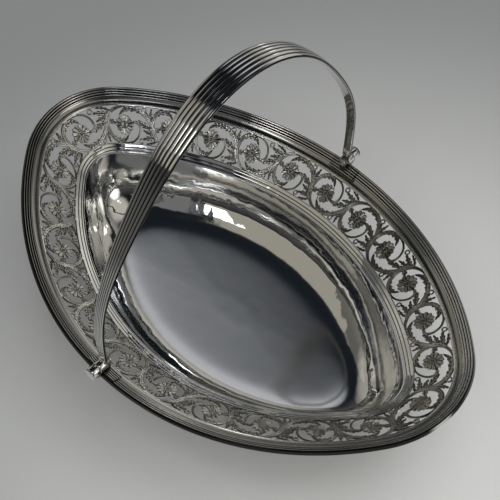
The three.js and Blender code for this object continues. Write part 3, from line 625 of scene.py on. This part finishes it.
def bowlPiece():
    top, tone, middleLevel = bowlRings()
    across = np.gradient(top, axis=0)
    along = np.roll(top, -1, axis=1) - np.roll(top, 1, axis=1)
    normal = np.cross(along, across)
    normal /= np.linalg.norm(normal, axis=2, keepdims=True) + 1e-12
    normal *= np.sign(normal[..., 2:3] + 1e-9)
    under = top - normal * sheet * mm
    rings, size = top.shape[:2]
    i = np.arange(size)
    j = (i + 1) % size
    below = rings * size
    faces = []
    for ring in range(rings - 1):
        a, b = ring * size, (ring + 1) * size
        faces.append(np.stack([a + i, a + j, b + j, b + i], 1))
        faces.append(np.stack([a + j, a + i, b + i, b + j], 1) + below)
    faces.append(np.stack([below + i, below + j, j, i], 1))
    faces = np.vstack(faces).tolist()
    last = (rings - 1) * size
    for a, b in zip(i.tolist(), j.tolist()):
        faces.append([last + a, last + b, 2 * below])
        faces.append([last + below + b, last + below + a, 2 * below + 1])
    centres = [[0, 0, middleLevel * mm], [0, 0, (middleLevel - sheet) * mm]]
    tones = np.concatenate([np.repeat(tone, size), np.ones(below + 2)])
    points = np.vstack([top.reshape(-1, 3), under.reshape(-1, 3), centres])
    piece = meshPiece("bowlBody", points, faces, tones)
    faceOut(piece)
    smoothAt(piece, 30)
    return piece


dress(bowlPiece(), "bowlSilver", "polished_silver", "basket", "bowl")
print("bowl: made")

# swing handle: a reeded strip, wide at the top and narrow at its feet. Its inner side is given in shares of
# the width and the thickness
handle = {"foot": 121.8, "rise": 175.2, "shoulder": 0.0317, "trim": 0.0974,
          "hingeLevel": 91.1, "footLevel": 5.25,
          "topWidth": 18.95, "footWidth": 6.95, "widthTrim": 0.081, "topThickness": 2.8, "footThickness": 2.2,
          "reeds": 6, "reedSteps": 10, "reedEnds": 0.07, "reedDepth": 0.62, "crown": 1.0, "innerShade": 0.64,
          "inner": ((0.5, -0.34), (0.47, -0.46), (0.40, -0.5), (-0.40, -0.5), (-0.47, -0.46), (-0.5, -0.34)),
          "stations": 220, "probe": 1e-4}


def handleRadius(angle):
    mean, gain = (handle["rise"] + handle["foot"]) / 2, (handle["rise"] - handle["foot"]) / 2
    shoulder, trim = handle["shoulder"] * mean, handle["trim"] * gain
    broad = shoulder * (np.cos(4 * angle) - 1)
    return mean + broad - (gain - trim) * np.cos(2 * angle) - trim * np.cos(6 * angle)


def handleWidth(angle):
    mean = (handle["topWidth"] + handle["footWidth"]) / 2
    gain = (handle["topWidth"] - handle["footWidth"]) / 2
    return mean - gain * np.cos(2 * angle) + handle["widthTrim"] * mean * (np.cos(4 * angle) - 1)


def handleMiddle(angle):
    radius = handleRadius(angle)
    return np.stack([0 * angle, radius * np.cos(angle), handle["hingeLevel"] + radius * np.sin(angle)], -1)


def handleStrip():
    start = handle["footLevel"] / handle["foot"]
    angles = np.linspace(start, math.pi - start, handle["stations"] + 1)
    way = handleMiddle(angles + handle["probe"]) - handleMiddle(angles - handle["probe"])
    out = np.stack([0 * angles, way[:, 2], -way[:, 1]], -1)
    out /= np.linalg.norm(out, axis=1, keepdims=True)
    gain = handle["topThickness"] - handle["footThickness"]
    thick = (handle["footThickness"] + gain * np.sin(angles))[:, None]
    width = handleWidth(angles)[:, None]
    count = handle["reeds"]
    outer = []
    for i in range(count):
        outer += reedArc((i + 0.5) / count - 0.5, 0.5 / count, 0, 1, handle["reedSteps"], handle["reedEnds"])
    outer, inner = np.array(outer), np.array(handle["inner"])
    reach = np.hstack([width * outer[:, 0], width * inner[:, 0]])
    crown = handle["crown"] * (width / handle["topWidth"]) * (2 * outer[:, 0]) ** 2
    lift = np.hstack([thick / 2 - handle["reedDepth"] * (1 - outer[:, 1]) - crown, thick * inner[:, 1]])
    sections = handleMiddle(angles)[:, None, :] + out[:, None, :] * lift[..., None]
    sections[..., 0] += reach
    # painted shade: the inner side of the strip is painted darker than its reeds
    tones = np.concatenate([outer[:, 2], np.full(len(inner), handle["innerShade"])])
    piece = sweep("handleStrip", sections * mm, False, tones)
    dress(piece, "handleSilver", "reeded_silver", "handle", "handle_band")


handleStrip()
print("handle: strip made")

# foot: flared collar and reeded edge wire
foot = {"topHalfLength": 95, "topHalfWidth": 43, "topRadius": 22, "flare": 11, "flareSteps": 16, "sheet": 1.1,
        "top": 17.6, "wireHeight": 4.2, "wireWidth": 4.6, "inside": 0.75, "reeds": 3, "reedDepth": 0.62,
        "reedStep": 0.35, "reedSteps": 6, "reedEnds": 0.05, "stations": 300}


def footSections(outline):      # outline: how far out from the top oval, and the level
    angles = evenAngles(foot["stations"])
    rings = []
    for spread, level in outline:
        shape = ovalOf(*(foot[part] + spread for part in ("topHalfLength", "topHalfWidth", "topRadius")))
        x, y = ovalAt(shape, angles)
        rings.append(np.stack([x, y, np.full(len(x), level)], -1) * mm)
    return np.stack(rings, 1)


def footCollar():
    turns = np.linspace(0, math.pi / 2, foot["flareSteps"])
    drop = foot["top"] - foot["wireHeight"]
    flare = [(foot["flare"] * (1 - math.sin(a)), foot["top"] - drop * math.cos(a)) for a in turns]
    outline = flare + [(out - foot["sheet"], level) for out, level in flare[::-1]]
    collar = sweep("footCollar", footSections(outline), True)
    dress(collar, "polishedSilver", "polished_silver", "basket", "foot_collar")


def footWire():
    inner = foot["flare"] - foot["inside"] * foot["wireWidth"]
    outer = foot["flare"] + (1 - foot["inside"]) * foot["wireWidth"] - foot["reedDepth"]
    outline, half = [(inner, 0.0, 1.0)], foot["wireHeight"] / 2 / foot["reeds"]
    for i in range(foot["reeds"]):
        reed = reedArc(half * (2 * i + 1), half, outer - foot["reedStep"] * i, foot["reedDepth"],
                       foot["reedSteps"], foot["reedEnds"])
        outline += [(out, level, tone) for level, out, tone in reed]
    outline.append((inner, foot["wireHeight"], 1.0))
    outline = np.array(outline)
    wire = sweep("footWire", footSections(outline[:, :2]), True, outline[:, 2])
    dress(wire, "reededSilver", "reeded_silver", "basket", "foot_wire")


footCollar()
footWire()
print("foot: made")

# the two hinges. In each a fixed inner knuckle, the moving knuckle and a fixed outer knuckle share one pin.
# The back one is modelled, and the front one is its copy turned half round. A barrel is given as start and
# end across the basket and radius, a stepped face as pairs of how far it is inset and then moved out
hinge = {"level": 91.1, "sides": 48, "edgeRound": 0.25, "edgeSteps": 3, "bore": 1.65,
         "inner": (118.1, 120.7, 3.5), "moving": (121.0, 127.2, 4.1), "outer": (127.5, 133.0, 4.15),
         "cap": (133.3, 134.05, 4.5), "capSteps": ((0.9, 0.36), (1.2, 0.24), (1.1, 0.1)),
         "shaft": (118.05, 133.0, 1.3),
         "head": (117.15, 118.05, 3.0), "headSteps": ((0.7, 0), (0.15, -0.3), (0.4, 0), (0.5, 0.3))}
flatEnd = 0.999      # a bar's flat end has at least this much of its normal along the bar


def pickFaces(piece, test):      # selects in edit mode the faces that pass the test, given their normal
    bpy.ops.object.mode_set(mode="OBJECT")
    for part in (piece.data.vertices, piece.data.edges):
        part.foreach_set("select", [False] * len(part))
    for face in piece.data.polygons:
        face.select = bool(test(face.normal))
    bpy.ops.object.mode_set(mode="EDIT")


def roundBar(name, start, end, radius, level=hinge["level"]):      # a bar across the basket, its ends rounded
    clearSelection()
    bpy.ops.mesh.primitive_cylinder_add(vertices=hinge["sides"], radius=radius * mm, depth=(end - start) * mm,
                                        location=(0, (start + end) / 2 * mm, level * mm),
                                        rotation=(math.pi / 2, 0, 0))
    piece = bpy.context.object
    piece.name = name
    bpy.ops.object.transform_apply(location=True, rotation=True, scale=True)
    bpy.ops.object.mode_set(mode="EDIT")
    bpy.ops.mesh.select_mode(type="FACE")
    pickFaces(piece, lambda normal: abs(normal.y) > flatEnd)
    bpy.ops.mesh.bevel(offset=hinge["edgeRound"] * mm, segments=hinge["edgeSteps"], affect="EDGES")
    return piece


def boredBar(name, start, end, radius):      # the same with a hole from end to end
    piece = roundBar(name, start, end, radius)
    pickFaces(piece, lambda normal: abs(normal.y) > flatEnd)
    bpy.ops.mesh.inset(thickness=(radius - hinge["edgeRound"] - hinge["bore"]) * mm, use_individual=True)
    bpy.ops.mesh.bridge_edge_loops()
    bpy.ops.object.mode_set(mode="OBJECT")
    return piece


def stepFace(piece, way, steps):      # shapes the end that looks this way along the bar
    pickFaces(piece, lambda normal: normal.y * way > flatEnd)
    for inward, outward in steps:
        bpy.ops.mesh.inset(thickness=inward * mm)
        bpy.ops.transform.translate(value=(0, way * outward * mm, 0))
    bpy.ops.object.mode_set(mode="OBJECT")


def blockPiece(half, across, levels, edgeRound):      # a softened block, across and up between places
    clearSelection()
    centre = (0, sum(across) / 2 * mm, sum(levels) / 2 * mm)
    size = (2 * half * mm, (across[1] - across[0]) * mm, (levels[1] - levels[0]) * mm)
    bpy.ops.mesh.primitive_cube_add(size=1, location=centre, scale=size)
    piece = bpy.context.object
    bpy.ops.object.transform_apply(location=True, rotation=True, scale=True)
    bpy.ops.object.mode_set(mode="EDIT")
    bpy.ops.mesh.select_all(action="SELECT")
    bpy.ops.mesh.bevel(offset=edgeRound * mm, segments=2, affect="EDGES")
    bpy.ops.object.mode_set(mode="OBJECT")
    return piece


def joinTo(piece, *others):
    clearSelection()
    for other in (*others, piece):
        other.select_set(True)
    bpy.context.view_layer.objects.active = piece
    bpy.ops.object.join()
    return piece


def finishPair(piece, material, slot, body, node):      # dresses the back piece and copies it to the front
    smoothAt(piece, 40)
    bpy.ops.object.duplicate()
    turned = bpy.context.object
    turned.name = piece.name.replace("Back", "Front")
    turned.rotation_euler.z = math.pi
    bpy.ops.object.transform_apply(location=True, rotation=True, scale=True)
    dress(piece, material, slot, body, node + "_back")
    dress(turned, material, slot, body, node + "_front")


def fixedKnuckles():
    inner = boredBar("innerKnuckleBack", *hinge["inner"])
    # the inner knuckle is painted dark, a painted shade of the gap round the pin head
    finishPair(inner, "gapShadeSilver", "polished_silver", "basket", "inner_knuckle")
    outer = boredBar("outerKnuckleBack", *hinge["outer"])
    finishPair(outer, "barrelSilver", "polished_silver", "basket", "outer_knuckle")


def hingeCap():      # closes the outer knuckle with a low dome
    cap = roundBar("hingeCapBack", *hinge["cap"])
    stepFace(cap, 1, hinge["capSteps"])
    finishPair(cap, "barrelSilver", "polished_silver", "basket", "hinge_cap")


def hingePin():      # its head has a raised middle inside a ring
    head = roundBar("pinHead", *hinge["head"])
    stepFace(head, -1, hinge["headSteps"])
    shaft = roundBar("hingePinBack", *hinge["shaft"])
    finishPair(joinTo(shaft, head), "barrelSilver", "worn_silver", "basket", "hinge_pin")


# the foot of the handle: a seat on the moving knuckle for the strip, and a thin tang behind it with its rivet
tang = {"seatAcross": (121.0, 122.9), "seatHalf": 3.2, "seatLevels": (93.5, 96.3), "across": (120.0, 120.62),
        "half": 2.5, "levels": (96.4, 104.1), "edgeRound": 0.2, "rivet": (119.6, 120.3, 1.05, 100.9),
        "rivetSteps": ((0.3, 0.14), (0.25, 0.05))}


def handleKnuckle():
    knuckle = boredBar("handleKnuckleBack", *hinge["moving"])
    seat = blockPiece(tang["seatHalf"], tang["seatAcross"], tang["seatLevels"], tang["edgeRound"])
    strap = blockPiece(tang["half"], tang["across"], tang["levels"], tang["edgeRound"])
    finishPair(joinTo(knuckle, seat, strap), "barrelSilver", "polished_silver", "handle", "handle_knuckle")
    rivet = roundBar("handleRivetBack", *tang["rivet"])
    stepFace(rivet, -1, tang["rivetSteps"])
    finishPair(rivet, "wornSilver", "worn_silver", "handle", "handle_rivet")


# bracket: a reeded strap over the rim wire, a post under the inner knuckle and a gusset out to the outer one
bracket = {"halfLength": 12, "width": 8.2, "seat": 1.55, "stations": 24,
           "reeds": 5, "reedShare": 0.97, "reedBase": 1.75, "reedHeight": 0.8,
           "postHalf": 2.3, "postAcross": (118.1, 120.7), "postLevels": (80.8, 91.1),
           "shoulderHalf": 2.4, "shoulderAcross": (125.4, 127.7), "shoulderLevels": (82.6, 86.5),
           "gussetHalf": 2.4, "gussetAcross": (127.5, 133.0), "gussetLevels": (82.6, 88.6), "gussetTip": 86.9,
           "edgeRound": 0.25, "strapShade": 0.82, "blockTone": 0.5}


def strapPiece():
    half = bracket["width"] / 2 / bracket["reeds"]
    first, last = (0.0, bracket["seat"], 1.0), (bracket["width"], bracket["seat"], 1.0)
    outline = np.array([first, *reedsOf(bracket["reeds"], half, bracket), last])
    reach = bracket["halfLength"] / rimOval["side"]
    angles = math.pi / 2 + reach * np.linspace(-1, 1, bracket["stations"] + 1)
    sections = borderAt(angles[:, None], outline[None, :, 0], outline[None, :, 1])
    # painted shade: the strap's reeds are painted darker all along
    return sweep("hingeBracketBack", sections, False, bracket["strapShade"] * outline[:, 2])


def bracketPiece():
    strap = strapPiece()
    post, shoulder, gusset = (
        blockPiece(*(bracket[name + part] for part in ("Half", "Across", "Levels")), bracket["edgeRound"])
        for name in ("post", "shoulder", "gusset"))
    middleY = sum(bracket["gussetAcross"]) / 2 * mm
    middleZ = sum(bracket["gussetLevels"]) / 2 * mm
    for vertex in gusset.data.vertices:      # its lower outer edge rises, which makes the slope
        if vertex.co.y > middleY and vertex.co.z < middleZ:
            vertex.co.z += (bracket["gussetTip"] - bracket["gussetLevels"][0]) * mm
    for block in (post, shoulder, gusset):
        layer = block.data.attributes.new("relief", "FLOAT", "POINT")
        layer.data.foreach_set("value", np.full(len(block.data.vertices), bracket["blockTone"], np.float32))
    joined = joinTo(strap, post, shoulder, gusset)
    finishPair(joined, "reededSilver", "reeded_silver", "basket", "hinge_bracket")


fixedKnuckles()
hingeCap()
hingePin()
handleKnuckle()
bracketPiece()
print("hinges: made")

# pale ground, darker away from the light, as in the photograph. Its fades are distances in metres
# the ground's colour holds a painted pool of light: near is the lit middle, far and edge the painted falloff
ground = {"near": (0.50, 0.503, 0.495), "far": (0.205, 0.212, 0.212), "edge": (0.24, 0.24, 0.23),
          "middle": (0.16, 0.02, 0), "fade": (0.02, 0.53), "edgeFade": (0.7, 1.5),
          "roughness": 0.6, "size": 6.0, "level": -0.0002}
clearSelection()
bpy.ops.mesh.primitive_plane_add(size=ground["size"], location=(0, 0, ground["level"]))
floorPlane = bpy.context.object
floorPlane.name = "ground"
material, nodes, links, shader = newMaterial("paleGround")
away = nodes.new("ShaderNodeVectorMath")
away.operation = "DISTANCE"
away.inputs[1].default_value = ground["middle"]
links.new(nodes.new("ShaderNodeTexCoord").outputs["Object"], away.inputs[0])
share = rangeOf(nodes, links, away.outputs["Value"], ground["fade"], smooth=True)
tint = mixOf(nodes, links, share, ground["near"], ground["far"])
beyond = rangeOf(nodes, links, away.outputs["Value"], ground["edgeFade"], smooth=True)
links.new(mixOf(nodes, links, beyond, tint, ground["edge"]), shader.inputs["Base Color"])
shader.inputs["Roughness"].default_value = ground["roughness"]
floorPlane.data.materials.append(material)

# the room that the silver reflects: a dark ceiling and a dim horizon, which fade into each other by how
# steeply a ray rises. Glows are given as a direction (azimuth, elevation), a core and a reach in degrees and
# a light. Overhead shapes have straight edges on the ceiling, where a place is the direction's x and y over
# its z: each edge holds where a * x + b * y + c is above zero, then come a softness and the light
room = {
    "ceiling": (0.009, 0.012, 0.016),
    "horizon": (0.10, 0.098, 0.092),
    "fade": (0.08, 0.60),
    "overheadFade": (0.06, 0.12),
    "lowest": 0.05,
    "glows": [
        (182, 16, 12, 26, (0.30, 0.285, 0.24)),
        (128, 45, 12, 17.5, (0.145, 0.15, 0.16)),
        (128, 42, 4, 16.5, (0.34, 0.345, 0.355)),
        (105, 10, 14, 34, (0.42, 0.405, 0.37)),
        (78, 24, 8, 26, (0.25, 0.245, 0.22)),
        (122, 6, 1.5, 4, (1.6, 1.6, 1.6)),
        (335, 54, 3, 12, (0.40, 0.42, 0.45)),
        (334, 56, 1.5, 5, (2.4, 2.4, 2.5)),
        (15, 13, 2, 15, (1.4, 1.38, 1.34)),
        (30, 38, 13, 28, (0.50, 0.48, 0.42)),
        (0, 61, 3, 4.5, (3.0, 3.0, 3.0)),
        (20, 36, 2, 3.5, (3.0, 3.0, 3.0)),
    ],
    "overhead": [
        ([(0, -1, -0.24), (0, 1, 1.7), (-0.90, -0.434, -0.229), (1, -0.5, 0.68)], 0.025, (0.34, 0.32, 0.265)),
        ([(0, -1, -0.24), (0, 1, 1.7), (-1, 0.5, -0.68), (1, 0, 2.6)], 0.025, (0.11, 0.105, 0.09)),
        ([(0.90, 0.434, 0.41), (-0.90, -0.434, -0.21), (0, -1, -0.66), (0, 1, 1.2)], 0.03, (4.0, 4.05, 4.15)),
        ([(0.90, 0.434, 0.159), (0, -1, -0.5), (0, 1, 2.2), (-1, 0, 1.6)], 0.05, (0.16, 0.16, 0.155)),
    ],
}


def direction(azimuth, elevation):
    a, e = math.radians(azimuth), math.radians(elevation)
    return Vector((math.cos(e) * math.cos(a), math.cos(e) * math.sin(a), math.sin(e)))


world = bpy.data.worlds.new("studio")
bpy.context.scene.world = world
world.use_nodes = True
nodes, links = world.node_tree.nodes, world.node_tree.links
coords = nodes.new("ShaderNodeTexCoord")


def alongOf(vector, way):      # the dot product of a vector socket and fixed numbers
    node = nodes.new("ShaderNodeVectorMath")
    node.operation = "DOT_PRODUCT"
    node.inputs[1].default_value = way
    links.new(vector, node.inputs[0])
    return node.outputs["Value"]


ray = coords.outputs["Generated"]
upward = alongOf(ray, (0, 0, 1))
share = rangeOf(nodes, links, upward, room["fade"], smooth=True)
colour = mixOf(nodes, links, share, room["horizon"], room["ceiling"])
for azimuth, elevation, core, reach, light in room["glows"]:
    limits = (math.cos(math.radians(reach)), math.cos(math.radians(core)))
    share = rangeOf(nodes, links, alongOf(ray, direction(azimuth, elevation)), limits, smooth=True)
    colour = mixOf(nodes, links, share, colour, light, "ADD")
onCeiling = nodes.new("ShaderNodeVectorMath")
onCeiling.operation = "SCALE"
links.new(ray, onCeiling.inputs[0])
steepness = mathOf(nodes, links, "MAXIMUM", upward, room["lowest"])
links.new(mathOf(nodes, links, "DIVIDE", 1.0, steepness), onCeiling.inputs["Scale"])
for edges, softness, light in room["overhead"]:
    share = rangeOf(nodes, links, upward, room["overheadFade"], smooth=True)
    for edge in edges:
        across = alongOf(onCeiling.outputs["Vector"], edge)
        within = rangeOf(nodes, links, across, (-softness, softness), smooth=True)
        share = mathOf(nodes, links, "MINIMUM", share, within)
    colour = mixOf(nodes, links, share, colour, light, "ADD")
links.new(colour, nodes["Background"].inputs["Color"])

# large soft lamps light the ground: the main one from above, a little right and behind, and a weaker one from
# the front, in metres and watts. The silver reflects only the room
lamps = {"main": {"place": (0.30, 0.46, 2.2), "size": 1.7, "power": 39.5},
         "front": {"place": (0.25, -1.0, 1.8), "size": 1.5, "power": 18}}


def softLamp(name, place, size, power):
    data = bpy.data.lights.new(name, "AREA")
    data.size = size
    data.energy = power
    lamp = bpy.data.objects.new(name, data)
    bpy.context.scene.collection.objects.link(lamp)
    aim = (-Vector(place)).to_track_quat("-Z", "Y").to_matrix().to_4x4()
    lamp.matrix_world = Matrix.Translation(place) @ aim
    lamp.visible_glossy = False


for name, values in lamps.items():
    softLamp(name + "Lamp", **values)

bpy.context.scene.view_settings.view_transform = "Standard"
